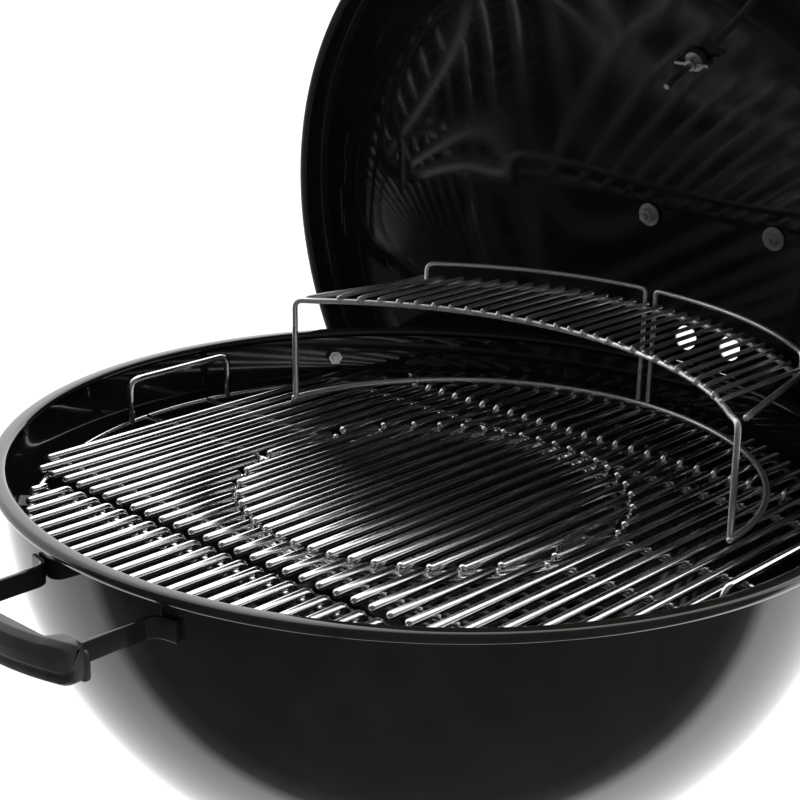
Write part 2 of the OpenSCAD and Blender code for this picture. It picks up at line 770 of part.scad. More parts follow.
module bucket_handle() {
    wall = ash_r + 7.2;
    z = -350;
    color(zinc) kettle_frame() rotate([0, 0, lever_az])
        wire(bent([[-32, -chord(wall, 32) - 0.3, z], [-32, -wall - 34, z], [32, -wall - 34, z],
            [32, -chord(wall, 32) - 0.3, z]], 10), 6, [0, 0, 1]);
}

// ---------- wheels ----------

module on_wheel(s) translate([s * wheel_in, axle_y, axle_z]) rotate([0, s * 90, 0]) children();

module tyre(s) {
    color("#1b1b1c") on_wheel(s) rotate_extrude($fn = 120) polygon([
        [wheel_r - 18, 1], [wheel_r - 6, 0], [wheel_r - 1.5, 3], [wheel_r, 7], [wheel_r, wheel_w - 7],
        [wheel_r - 1.5, wheel_w - 3], [wheel_r - 6, wheel_w], [wheel_r - 18, wheel_w - 1]]);
}

module wheel_disc(s) {
    rim = wheel_r - 18.1;
    color(nylon) on_wheel(s) difference() {
        union() {
            difference() {
                translate([0, 0, 3]) cylinder(r = rim, h = wheel_w - 6);
                translate([0, 0, 2]) cylinder(r = rim - 4, h = wheel_w);
            }
            translate([0, 0, wheel_w / 2 - 2]) cylinder(r = rim - 2, h = 4);
            cylinder(r = 15, h = wheel_w);
        }
        translate([0, 0, -1]) cylinder(d = axle_d + 2 * run_gap, h = wheel_w + 2);
        for (a = [0:60:300]) rotate([0, 0, a]) translate([38, 0, 0]) cylinder(r = 11, h = wheel_w);
    }
}

module hub_cap(s)
    color(zinc) on_wheel(s) translate([0, 0, wheel_w + loose_gap]) difference() {
        cylinder(r = 17, h = 7);
        translate([0, 0, -1]) cylinder(d = axle_d + 2 * run_gap, h = 5);
    }

module tyre_left() tyre(-1);
module tyre_right() tyre(1);
module wheel_disc_left() wheel_disc(-1);
module wheel_disc_right() wheel_disc(1);
module hub_cap_left() hub_cap(-1);
module hub_cap_right() hub_cap(1);

bowl();
leg_sockets();
leg_front();
leg_left();
leg_right();
leg_buttons();
foot_cap();
axle();
bottom_rack();
ash_ring();
lid_holder();
holder_brackets();
holder_bolts();
grate_tabs();
handle_strap();
handle_grip();
grip_screws();
lid_shell();
lid_handle();
heat_shield();
lid_bolts();
thermometer_case();
thermometer_dial();
thermometer_glass();
thermometer_stem();
thermometer_nut();
damper_rivet();
lid_damper();
thermometer_needle();
grate_frame();
grate_bars();
flap_front();
flap_back();
grate_insert();
rack_frame();
rack_guards();
rack_shelf();
charcoal_grate();
sweeper();
sweeper_lever();
lever_grip();
ash_bucket();
bucket_handle();
tyre_left();
wheel_disc_left();
hub_cap_left();
tyre_right();
wheel_disc_right();
hub_cap_right();
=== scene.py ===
import json
import math

import bmesh
import bpy
from mathutils import Matrix, Vector


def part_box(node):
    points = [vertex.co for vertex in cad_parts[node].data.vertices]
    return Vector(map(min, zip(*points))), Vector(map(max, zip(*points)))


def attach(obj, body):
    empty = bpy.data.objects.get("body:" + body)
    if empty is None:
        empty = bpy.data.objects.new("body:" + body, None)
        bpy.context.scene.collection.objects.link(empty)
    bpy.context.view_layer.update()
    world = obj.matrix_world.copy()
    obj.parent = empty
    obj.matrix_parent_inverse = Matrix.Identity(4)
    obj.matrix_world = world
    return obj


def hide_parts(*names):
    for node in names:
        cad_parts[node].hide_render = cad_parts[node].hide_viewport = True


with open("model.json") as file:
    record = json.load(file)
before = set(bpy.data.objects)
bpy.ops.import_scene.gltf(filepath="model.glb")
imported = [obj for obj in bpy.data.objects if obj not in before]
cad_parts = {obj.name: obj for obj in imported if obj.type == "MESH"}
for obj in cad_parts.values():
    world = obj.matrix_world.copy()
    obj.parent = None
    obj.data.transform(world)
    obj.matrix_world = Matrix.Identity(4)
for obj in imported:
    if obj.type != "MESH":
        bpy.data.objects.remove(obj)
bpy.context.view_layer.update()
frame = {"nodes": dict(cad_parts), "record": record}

# ---------- frame: kettle coordinates in millimetres, bowl axis on Z, rim plane at z = 0 ----------

bowl_low, bowl_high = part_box("bowl")
AXIS = Vector(((bowl_low.x + bowl_high.x) / 2, (bowl_low.y + bowl_high.y) / 2, bowl_high.z))
KETTLE = Matrix.Translation(AXIS) @ Matrix.Scale(0.001, 4)

RIM_R = (bowl_high.x - bowl_low.x) * 500
BEAD_R = 3.6
WALL_R = RIM_R - 2 * BEAD_R - 0.2
WALL_TOP = -10
BOWL_DEPTH = (bowl_high.z - bowl_low.z) * 1000
CURVE_H = BOWL_DEPTH + WALL_TOP
SHEET = 1.6

LID_BACK, LID_RISE, LID_LEAN = 168, 79, 8.6
LID_R, LID_DEPTH, SKIRT_R, SKIRT_H, DOME_R = 300, 165, 294.4, 20, 288
DOME_H = LID_DEPTH - SKIRT_H
LID = (KETTLE @ Matrix.Translation((0, LID_BACK, LID_RISE))
       @ Matrix.Rotation(math.radians(LID_LEAN - 90), 4, "X") @ Matrix.Rotation(math.pi, 4, "Z"))

GRATE_R, GRATE_Z, BAR_PITCH, BAR_R = 273.5, -34, 14.3, 3
HINGE_Y, HOLE_R, INSERT_R, FLAP_INSET = 177, 134, 132.6, 2.3
TIP = 2.5   # a bar's rounded end reaches this far past the end of its path
RING_R, RING_WIRE_R, RING_Z = 266.5, 2.5, -39.9
CROSS_Y, TIE_Y = 140, 30
LOOP_X, LOOP_HALF, LOOP_TOP = 261, 48, -6
LAST_BAR, LAST_FLAP_BAR, LAST_INSERT_BAR = 16, 13, 9   # bars each side of the middle one
CHARCOAL_R, CHARCOAL_Z = 209, -181
SHELF_Z = 50


# ---------- shapes ----------

WIRE_END = 0.8   # how far a wire's rounded end stands out, in radii


def rounded(points, radius, steps=5, closed=False):
    """Path through points, with each corner rounded."""
    pts = [Vector(p) for p in points]
    out = []
    for i, b in enumerate(pts):
        if not closed and i in (0, len(pts) - 1):
            out.append(b)
            continue
        u, v = pts[i - 1] - b, pts[(i + 1) % len(pts)] - b
        half = math.acos(max(-1, min(1, u.normalized().dot(v.normalized())))) / 2
        cut = min(radius / math.tan(half), u.length * 0.48, v.length * 0.48)
        p, q = b + u.normalized() * cut, b + v.normalized() * cut
        for k in range(steps + 1):
            t = k / steps
            out.append(p * (1 - t) ** 2 + b * 2 * t * (1 - t) + q * t * t)
    return out


def chord(r, d):
    """Half the chord of a circle of radius r at distance d from its middle."""
    return math.sqrt(max(0, r * r - d * d))


def polar(r, degrees, z):
    """Point at radius r and at an angle from the +X axis."""
    a = math.radians(degrees)
    return Vector((r * math.cos(a), r * math.sin(a), z))


def arc(r, z, start, end, steps):
    """Points of a level arc about Z, between two angles in degrees."""
    return [polar(r, start + (end - start) * i / steps, z) for i in range(steps + 1)]


def circle(centre, radius, sides):
    """Level ring of points round a centre."""
    return [Vector(centre) + polar(radius, 360 / sides * k, 0) for k in range(sides)]


def add_object(name, data):
    """New object in the scene."""
    made = bpy.data.objects.new(name, data)
    bpy.context.scene.collection.objects.link(made)
    return made


class Shape:
    """Collects closed surfaces, in millimetres, and makes one mesh piece of them."""

    def __init__(self):
        self.verts = []
        self.faces = []

    def rings(self, rings, closed=False):
        """Joins rings of points; a ring of one point is a tip. Ends are capped unless closed."""
        spans = []
        for ring in rings:
            spans.append(range(len(self.verts), len(self.verts) + len(ring)))
            self.verts.extend(Vector(p) for p in ring)
        pairs = list(zip(spans, spans[1:])) + ([(spans[-1], spans[0])] if closed else [])
        for a, b in pairs:
            n = max(len(a), len(b))
            for k in range(n):
                corners = [a[k % len(a)], a[(k + 1) % len(a)], b[(k + 1) % len(b)], b[k % len(b)]]
                face = list(dict.fromkeys(corners))
                if len(face) > 2:
                    self.faces.append(face)
        if not closed:
            for end in (spans[0], spans[-1]):
                if len(end) > 2:
                    self.faces.append(list(end))

    def tube(self, path, radius, sides=14, closed=False):
        """Round wire along a path, with rounded ends unless it is closed."""
        pts = [Vector(p) for p in path]
        last = len(pts) - 1
        side = None
        rings = []
        end_angles = [math.radians(a) for a in (75, 50, 25)]
        for i, p in enumerate(pts):
            before = pts[i - 1] if closed or i else p
            after = pts[(i + 1) % len(pts)] if closed or i < last else p
            t = (after - before).normalized()
            if side is None:
                side = t.orthogonal() if abs(t.z) > 0.8 else t.cross(Vector((0, 0, 1)))
            side = (side - t * side.dot(t)).normalized()
            up = t.cross(side)
            end = t * radius * WIRE_END

            def ring(middle, r):
                return [middle + (side * math.cos(a) + up * math.sin(a)) * r
                        for a in (2 * math.pi * k / sides for k in range(sides))]

            if not closed and i == 0:
                rings.append([p - end])
                rings += [ring(p - end * math.sin(a), radius * math.cos(a)) for a in end_angles]
            rings.append(ring(p, radius))
            if not closed and i == last:
                rings += [ring(p + end * math.sin(a), radius * math.cos(a)) for a in end_angles[::-1]]
                rings.append([p + end])
        self.rings(rings, closed)

    def turn(self, profile, segments=288):
        """Surface of revolution about Z of a closed profile of (radius, height)."""
        self.rings([[(0, 0, z)] if r < 1e-6 else [polar(r, 360 * k / segments, z) for k in range(segments)]
                    for r, z in profile], closed=True)

    def sweep(self, path, section):
        """Carries a section of (across, up) points along a level path."""
        pts = [Vector(p) for p in path]
        rings = []
        for i, p in enumerate(pts):
            t = pts[min(i + 1, len(pts) - 1)] - pts[max(i - 1, 0)]
            across = Vector((t.y, -t.x, 0)).normalized()
            rings.append([p + across * a + Vector((0, 0, u)) for a, u in section])
        self.rings(rings)

    def ball(self, centre, r, squash=1):
        """Small ball, or a weld bead when squashed in height."""
        rows, sides = 6, 10
        centre = Vector(centre)
        pole = Vector((0, 0, r * squash))
        rings = [[centre - pole]]
        for i in range(1, rows):
            a = math.pi * i / rows
            rings.append([centre + polar(r * math.sin(a), 360 / sides * k, -r * squash * math.cos(a))
                          for k in range(sides)])
        self.rings(rings + [[centre + pole]])

    def mesh(self, name, matrix):
        """Mesh in metres, with its normals outward."""
        mesh = bpy.data.meshes.new(name)
        mesh.from_pydata([matrix @ v for v in self.verts], [], self.faces)
        bm = bmesh.new()
        bm.from_mesh(mesh)
        bmesh.ops.recalc_face_normals(bm, faces=bm.faces)
        bm.to_mesh(mesh)
        bm.free()
        return mesh

    def make(self, name, matrix, material, body, nodes, sharp=35):
        """Makes the piece, in place of CAD nodes if any, riding on a body; sharp is in degrees."""
        mesh = self.mesh(name, matrix)
        mesh.polygons.foreach_set("use_smooth", [True] * len(mesh.polygons))
        mesh.set_sharp_from_angle(angle=math.radians(sharp))
        mesh.materials.append(material)
        piece = add_object(name, mesh)
        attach(piece, body)
        if nodes:
            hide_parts(*nodes)
        return piece


def cut(piece, cutter_shape, matrix):
    """Takes a shape out of a piece."""
    cutter = add_object("cutter", cutter_shape.mesh("cutter", matrix))
    modifier = piece.modifiers.new("cut", "BOOLEAN")
    modifier.object = cutter
    modifier.operation = "DIFFERENCE"
    modifier.solver = "EXACT"
    bpy.context.view_layer.update()
    result = bpy.data.meshes.new_from_object(piece.evaluated_get(bpy.context.evaluated_depsgraph_get()))
    piece.modifiers.clear()
    piece.data = result
    bpy.data.objects.remove(cutter)


def true_normals(piece, matrix, radius, height, z_mid, z_low, z_high):
    """Gives the ellipsoid part of a turned sheet its exact normals, so that its gloss is even."""
    mesh = piece.data
    back = matrix.inverted()
    turn = matrix.to_3x3().normalized()
    normals = []
    for poly in mesh.polygons:
        for loop in poly.loop_indices:
            p = back @ mesh.vertices[mesh.loops[loop].vertex_index].co
            exact = Vector((p.x / radius ** 2, p.y / radius ** 2, (p.z - z_mid) / height ** 2))
            exact = (turn @ exact).normalized()
            normal = mesh.corner_normals[loop].vector.copy()
            if z_low <= p.z <= z_high and abs(exact.dot(poly.normal)) > 0.97:
                normal = exact if exact.dot(poly.normal) > 0 else -exact
            normals.append(normal)
    mesh.normals_split_custom_set(normals)


# ---------- materials ----------

def fill_ramp(node, stops):
    """Sets a ramp's (position, grey value or colour) stops."""
    elements = node.color_ramp.elements
    while len(elements) < len(stops):
        elements.new(0.5)
    for element, (at, colour) in zip(elements, stops):
        element.position = at
        element.color = (*colour, 1) if isinstance(colour, tuple) else (colour, colour, colour, 1)


def fill_input(tree, node_input, value):
    """Links a socket to another, or gives it a plain value."""
    if isinstance(value, bpy.types.NodeSocket):
        tree.links.new(value, node_input)
    else:
        node_input.default_value = value


# Sockets of a Mix node in its colour mode, whose names are shared by its other modes
MIX_FACTOR, MIX_A, MIX_B, MIX_RESULT = 0, 6, 7, 2


class Look:
    """A Principled material with named sockets and chained helper nodes."""

    def __init__(self, name, **inputs):
        self.mat = bpy.data.materials.new(name)
        self.mat.use_nodes = True
        self.tree = self.mat.node_tree
        self.shader = self.tree.nodes["Principled BSDF"]
        for key, value in inputs.items():
            self.shader.inputs[key.replace("_", " ")].default_value = value
        self.place = self.tree.nodes.new("ShaderNodeTexCoord").outputs["Object"]

    def node(self, kind, links=(), **values):
        node = self.tree.nodes.new(kind)
        for key, value in values.items():
            setattr(node, key, value)
        for socket, source in dict(links).items():
            fill_input(self.tree, node.inputs[socket], source)
        return node

    def noise(self, scale, detail=4, stretch=None, rough=0.55):
        place = self.place
        if stretch:
            place = self.node("ShaderNodeMapping", {"Vector": place, "Scale": stretch}).outputs["Vector"]
        links = {"Vector": place, "Scale": scale, "Detail": detail, "Roughness": rough}
        return self.node("ShaderNodeTexNoise", links).outputs["Fac"]

    def cells(self, scale, output="Color"):
        links = {"Vector": self.place, "Scale": scale}
        return self.node("ShaderNodeTexVoronoi", links).outputs[output]

    def ramp(self, source, stops):
        """Maps a value through (position, value or colour) stops."""
        node = self.node("ShaderNodeValToRGB", {"Fac": source})
        fill_ramp(node, stops)
        return node.outputs["Color"]

    def mix(self, factor, a, b):
        node = self.node("ShaderNodeMix", data_type="RGBA")
        for index, value in ((MIX_FACTOR, factor), (MIX_A, a), (MIX_B, b)):
            fill_input(self.tree, node.inputs[index], (*value, 1) if isinstance(value, tuple) else value)
        return node.outputs[MIX_RESULT]

    def put(self, socket, source):
        self.tree.links.new(source, self.shader.inputs[socket])

    def bump(self, source, distance, strength=1.0):
        links = {"Height": source, "Distance": distance, "Strength": strength}
        previous = self.shader.inputs["Normal"].links
        if previous:
            links["Normal"] = previous[0].from_socket
        self.put("Normal", self.node("ShaderNodeBump", links).outputs["Normal"])


def enamel_look():
    """Black porcelain enamel with a slight mottle, dust and a faint orange peel."""
    look = Look("enamel", IOR=1.5)
    dark, light = (0.0078, 0.0066, 0.0058), (0.0125, 0.0108, 0.0096)
    look.put("Base Color", look.ramp(look.noise(35), [(0.35, dark), (0.7, light)]))
    dust = look.ramp(look.noise(900, 2), [(0.45, 0.03), (0.75, 0.09)])
    look.put("Roughness", look.mix(0.5, dust, look.ramp(look.noise(9), [(0.35, 0.03), (0.8, 0.14)])))
    look.bump(look.noise(220, 2), 0.00002, 0.35)
    look.bump(look.noise(14, 1), 0.0002, 0.25)
    return look.mat


def metal_look(name, colour, dark, rough, grain=(1, 1, 1), grain_scale=900, tarnish=None,
               bump=0.00002):
    """Bare metal with fine drawn lines, smudges and a little dirt."""
    look = Look(name, Metallic=1.0)
    smudge = look.noise(22, 5)
    base = look.mix(look.ramp(smudge, [(0.42, 0.0), (0.75, 1.0)]), colour, dark)
    if tarnish:
        base = look.mix(look.ramp(look.noise(9, 6), [(0.5, 0.0), (0.72, 0.7)]), base, tarnish)
    look.put("Base Color", base)
    lines = look.noise(grain_scale, 3, grain)
    look.put("Roughness", look.mix(0.6, look.ramp(lines, [(0.3, rough * 0.7), (0.7, rough * 1.35)]),
                                   look.ramp(smudge, [(0.3, rough * 0.8), (0.75, min(1.0, rough * 2.2))])))
    look.bump(lines, bump, 0.6)
    return look.mat


def plastic_look(name, colour, worn, rough, grain=1600, bump=0.00005):
    """Moulded plastic with a fine texture and scuffs."""
    look = Look(name, IOR=1.5)
    scuff = look.ramp(look.noise(60, 6), [(0.5, 0.0), (0.72, 1.0)])
    look.put("Base Color", look.mix(scuff, colour, worn))
    skin = look.cells(grain, "Distance")
    fine = look.ramp(skin, [(0.0, rough * 0.85), (0.8, rough * 1.15)])
    broad = look.ramp(look.noise(30, 4), [(0.35, rough * 0.8), (0.7, rough * 1.25)])
    look.put("Roughness", look.mix(0.5, fine, broad))
    look.bump(skin, bump, 0.5)
    look.bump(look.noise(180, 3), 0.00008, 0.3)
    return look.mat


def spangle_look():
    """Aluminised sheet with faint crystal spangle."""
    look = Look("aluminised", Metallic=1.0)
    cells = look.cells(160)
    tone = look.ramp(cells, [(0.0, (0.44, 0.45, 0.46)), (1.0, (0.60, 0.61, 0.62))])
    stain = look.ramp(look.noise(12, 6), [(0.5, 0.0), (0.8, 0.5)])
    look.put("Base Color", look.mix(stain, tone, (0.33, 0.32, 0.31)))
    look.put("Roughness", look.mix(0.5, look.ramp(cells, [(0.0, 0.24), (1.0, 0.42)]),
                                   look.ramp(look.noise(60, 5), [(0.3, 0.26), (0.7, 0.46)])))
    look.bump(look.noise(420, 3), 0.00003, 0.5)
    return look.mat


def glass_look():
    look = Look("window_glass", IOR=1.5, Transmission_Weight=1.0, Base_Color=(0.95, 0.98, 0.98, 1))
    look.put("Roughness", look.ramp(look.noise(200, 3), [(0.4, 0.01), (0.8, 0.05)]))
    return look.mat


def floor_look():
    """Pale floor that gives off a little light, so that it stays near white."""
    look = Look("studio_floor", IOR=1.4, Emission_Color=(1, 1, 1, 1), Emission_Strength=0.35)
    tones = [(0.3, (0.80, 0.80, 0.80)), (0.7, (0.84, 0.84, 0.835))]
    look.put("Base Color", look.ramp(look.noise(3, 5), tones))
    look.put("Roughness", look.ramp(look.noise(40, 4), [(0.3, 0.75), (0.7, 0.9)]))
    look.bump(look.noise(260, 3), 0.0002, 0.2)
    return look.mat


ENAMEL = enamel_look()
PLATED = metal_look("plated_wire", (0.80, 0.81, 0.82), (0.62, 0.63, 0.64), 0.14, grain_scale=1400)
STAINLESS = metal_look("stainless_wire", (0.93, 0.92, 0.90), (0.80, 0.79, 0.77), 0.3, grain_scale=1200)
TUBE = metal_look("leg_tube", (0.66, 0.67, 0.68), (0.52, 0.53, 0.54), 0.3, (1, 1, 0.04), 1500)
HARDWARE = metal_look("zinc_hardware", (0.70, 0.71, 0.72), (0.50, 0.50, 0.50), 0.24, grain_scale=700)
FUEL = metal_look("fuel_rod", (0.36, 0.35, 0.34), (0.20, 0.19, 0.18), 0.42, grain_scale=500,
                  tarnish=(0.16, 0.12, 0.09), bump=0.00006)
CASE = metal_look("spun_case", (0.72, 0.72, 0.73), (0.58, 0.58, 0.59), 0.22, (1, 0.05, 1), 1300)
SPANGLE = spangle_look()
NYLON = plastic_look("nylon", (0.016, 0.016, 0.018), (0.035, 0.035, 0.037), 0.42)
WHEEL = plastic_look("wheel_plastic", (0.03, 0.03, 0.032), (0.06, 0.06, 0.06), 0.5, 900)
RUBBER = plastic_look("tyre_rubber", (0.018, 0.018, 0.018), (0.06, 0.058, 0.055), 0.72, 700, 0.0001)
NEEDLE = plastic_look("needle_paint", (0.55, 0.03, 0.02), (0.4, 0.03, 0.02), 0.35, 2400, 0.00001)
DIAL = plastic_look("dial_paint", (0.82, 0.82, 0.80), (0.74, 0.74, 0.72), 0.4, 2400, 0.00001)
GLASS = glass_look()

CAD_LOOKS = {"enamel": ENAMEL, "nylon": NYLON, "plated_wire": PLATED, "rack_wire": STAINLESS,
             "tube_metal": TUBE, "hardware": HARDWARE, "bucket_metal": SPANGLE, "fuel_steel": FUEL,
             "case_steel": CASE, "dial": DIAL, "needle": NEEDLE, "glass": GLASS, "tyre": RUBBER,
             "wheel_plastic": WHEEL}
for row in frame["record"]["subparts"]:
    node = frame["nodes"][row["node"]]
    node.data.materials.clear()
    node.data.materials.append(CAD_LOOKS[row["material_slot"]])


# ---------- bowl ----------

HUB_R = 6.1


def bowl_z(r, inset=0):
    """Height of the bowl's wall at radius r; inset is the depth under its outer surface."""
    return WALL_TOP - (CURVE_H - inset) * math.sqrt(max(0, 1 - (r / (WALL_R - inset)) ** 2))


def wall_curve(inset, steps=60):
    """Profile of one side of the bowl's wall, from its top to its hub."""
    curve = []
    for a in (math.radians(90 * i / steps) for i in range(steps)):
        r = (WALL_R - inset) * math.cos(a)
        if r > HUB_R + 2:
            curve.append((r, WALL_TOP - (CURVE_H - inset) * math.sin(a)))
    return curve + [(HUB_R, bowl_z(HUB_R, inset))]


def bead_curve(middle, start, end):
    """Part of the rim bead's round profile, in steps of 12 degrees."""
    return [(middle + BEAD_R * math.cos(a), -BEAD_R + BEAD_R * math.sin(a))
            for a in (math.radians(degrees) for degrees in range(start, end, 12))]


def make_bowl():
    outer, inner = wall_curve(0), wall_curve(SHEET)
    bead = bead_curve(RIM_R - BEAD_R, -84, 91)
    lip = bead_curve(WALL_R - 0.4, 96, 181)
    profile = outer[::-1] + [(WALL_R + 0.1, -7.4)] + bead + lip + [(WALL_R - SHEET, -6.2)] + inner
    shape = Shape()
    shape.turn(profile)
    piece = shape.make("bowl_shell", KETTLE, ENAMEL, "kettle", ["bowl"])
    vents = Shape()
    vent_in, vent_out, vent_half = 38, 104, 20
    for middle in (0, 120, 240):
        ring = arc(vent_in, 0, middle - vent_half, middle + vent_half, 12)
        ring += arc(vent_out, 0, middle + vent_half, middle - vent_half, 24)
        vents.rings([[Vector((p.x, p.y, z)) for p in ring] for z in (-BOWL_DEPTH - 6, -BOWL_DEPTH + 55)])
    cut(piece, vents, KETTLE)
    true_normals(piece, KETTLE, WALL_R, CURVE_H, WALL_TOP, -BOWL_DEPTH - 5, WALL_TOP + 0.1)


make_bowl()


# ---------- lid ----------

def dome_z(r):
    """Height of the dome's outer surface at radius r, from the lid's edge."""
    return SKIRT_H + DOME_H * math.sqrt(max(0, 1 - (r / DOME_R) ** 2))


def on_dome(up):
    """Frame on the dome's outer surface at height up, with z along its normal."""
    tilt = -math.atan(DOME_H * up / DOME_R ** 2 / math.sqrt(1 - (up / DOME_R) ** 2))
    return LID @ Matrix.Translation((0, up, dome_z(abs(up)))) @ Matrix.Rotation(tilt, 4, "X")


THERMO = on_dome(139)
DAMPER = on_dome(-120)
BOLT_X = 58


def dome_curve(inset, steps=56):
    """Profile of one side of the dome, without its two ends."""
    return [((DOME_R - inset) * math.cos(a), SKIRT_H + (DOME_H - inset) * math.sin(a))
            for a in (math.radians(90 * i / steps) for i in range(1, steps))]


def make_lid():
    skirt = rounded([(SKIRT_R + 0.2, 2.8), (LID_R, 3), (LID_R, 0), (SKIRT_R - SHEET, 0),
                     (SKIRT_R - SHEET, SKIRT_H - SHEET), (DOME_R - SHEET, SKIRT_H - SHEET)], 1.6)
    step = rounded([(DOME_R, SKIRT_H + 4), (DOME_R + 0.2, SKIRT_H), (SKIRT_R, SKIRT_H), (SKIRT_R, 3)], 1.8)
    inner = skirt + dome_curve(SHEET) + [(0, SKIRT_H + DOME_H - SHEET)]
    outer = [(0, SKIRT_H + DOME_H)] + dome_curve(0)[::-1] + step
    shape = Shape()
    shape.turn(inner + outer)
    piece = shape.make("lid_shell_sheet", LID, ENAMEL, "lid", ["lid_shell"])
    holes = Shape()
    hole_at, hole_r = 21, 10
    for x in (-hole_at, hole_at):
        for y in (-hole_at, hole_at):
            holes.rings([circle((x, y, z), hole_r, 32) for z in (-20, 20)])
    cut(piece, holes, DAMPER)
    true_normals(piece, LID, DOME_R, DOME_H, SKIRT_H, SKIRT_H + 3, LID_DEPTH + 5)


make_lid()


# ---------- wires ----------

def make_grate():
    frame_wires = Shape()
    edge = math.degrees(math.asin(HINGE_Y / RING_R))
    for a in (0, 180):
        frame_wires.tube(arc(RING_R, RING_Z, a - edge, a + edge, 60), RING_WIRE_R)
    frame_wires.tube(arc(HOLE_R, RING_Z, 0, 356, 88), RING_WIRE_R, closed=True)
    for s in (-1, 1):
        for y, r in ((HINGE_Y, 2), (CROSS_Y, RING_WIRE_R)):
            reach = chord(RING_R, y)
            frame_wires.tube([(-reach, s * y, RING_Z), (reach, s * y, RING_Z)], r)
        for y in (-TIE_Y, TIE_Y):
            tie = [(s * chord(HOLE_R, y), y, RING_Z), (s * chord(RING_R, y), y, RING_Z)]
            frame_wires.tube(tie, RING_WIRE_R)
        loop = rounded([(s * LOOP_X, -LOOP_HALF, RING_Z), (s * LOOP_X, -LOOP_HALF, LOOP_TOP),
                        (s * LOOP_X, LOOP_HALF, LOOP_TOP), (s * LOOP_X, LOOP_HALF, RING_Z)], 9, 8)
        frame_wires.tube(loop, RING_WIRE_R)
    frame_wires.make("grate_frame_wires", KETTLE, PLATED, "grate", ["grate_frame"])

    bars = Shape()
    weld_z = (GRATE_Z + RING_Z) / 2
    for k in range(-LAST_BAR, LAST_BAR + 1):
        x = k * BAR_PITCH
        reach = min(HINGE_Y - 10, chord(GRATE_R, x)) - TIP
        hole = chord(INSERT_R + 3.6, x)
        for s in (-1, 1) if hole else (1,):
            bars.tube([(x, s * hole if hole else -reach, GRATE_Z), (x, s * reach, GRATE_Z)], BAR_R)
        for y in (-CROSS_Y, CROSS_Y, *((-TIE_Y, TIE_Y) if abs(x) > HOLE_R else ())):
            if abs(y) < reach:
                bars.ball((x, y, weld_z), 2.6, 0.8)
        on_ring = chord(HOLE_R, x)
        for y in (-on_ring, on_ring) if 20 < on_ring < 133 else ():
            bars.ball((x, y, weld_z), 2.4, 0.8)
    bars.make("grate_bar_wires", KETTLE, PLATED, "grate", ["grate_bars"])

    for side, node, body in ((-1, "flap_front", "front_flap"), (1, "flap_back", "grate")):
        flap = Shape()
        for k in range(-LAST_FLAP_BAR, LAST_FLAP_BAR + 1):
            x = k * BAR_PITCH
            end = side * (chord(GRATE_R - FLAP_INSET, abs(x) + BAR_R) - TIP)
            drop = GRATE_Z - RING_Z
            curl = [Vector((x, side * (HINGE_Y - drop * math.sin(a)), RING_Z + drop * math.cos(a)))
                    for a in (math.radians(18 * i) for i in range(10, -1, -1))]
            if abs(k) == LAST_FLAP_BAR:   # this bar is over a grate tab, so it starts clear of the hinge
                curl = [(x, side * (HINGE_Y + 2.6 + TIP), GRATE_Z)]
            flap.tube(curl + [(x, end, GRATE_Z)], BAR_R - 0.3)
        outer = math.degrees(math.asin((HINGE_Y + 9) / RING_R))
        rim = arc(RING_R, RING_Z + 0.35, side * 90 - 90 + outer, side * 90 + 90 - outer, 48)
        flap.tube(rim, RING_WIRE_R)
        flap.make(node + "_wires", KETTLE, PLATED, body, [node])

    insert = Shape()
    for k in range(-LAST_INSERT_BAR, LAST_INSERT_BAR + 1):
        x = k * BAR_PITCH
        reach = chord(INSERT_R, x) - 2.4
        insert.tube([(x, -reach, GRATE_Z), (x, reach, GRATE_Z)], BAR_R)
    ring = []
    for i in range(120):
        a = 3 * i
        notch = min(a % 180, 180 - a % 180) < 7
        ring.append(polar(118 if notch else 126, a, RING_Z + (3 if notch else 0.35)))
    insert.tube(ring, RING_WIRE_R, closed=True)
    insert.make("grate_insert_wires", KETTLE, PLATED, "insert", ["grate_insert"])


make_grate()


# Rails of the rack: radius of each, and how far back its middle lies
FRONT_RAIL, BACK_RAIL, GUARD_RAIL = (258, 148), (247, 243), (251.8, 247.8)
SHELF_PITCH = 12.2
RACK_LEG, BACK_CORNER = (197, 60), (172.6, 175.7)
RAIL_STEPS = 28


def rail_y(rail, x):
    """How far back a curved rail lies at x."""
    r, middle = rail
    return middle - r + math.sqrt(r * r - x * x)


def mirrored(path):
    """The path on the other side of the grill."""
    return [Vector((-p[0], p[1], p[2])) for p in path]


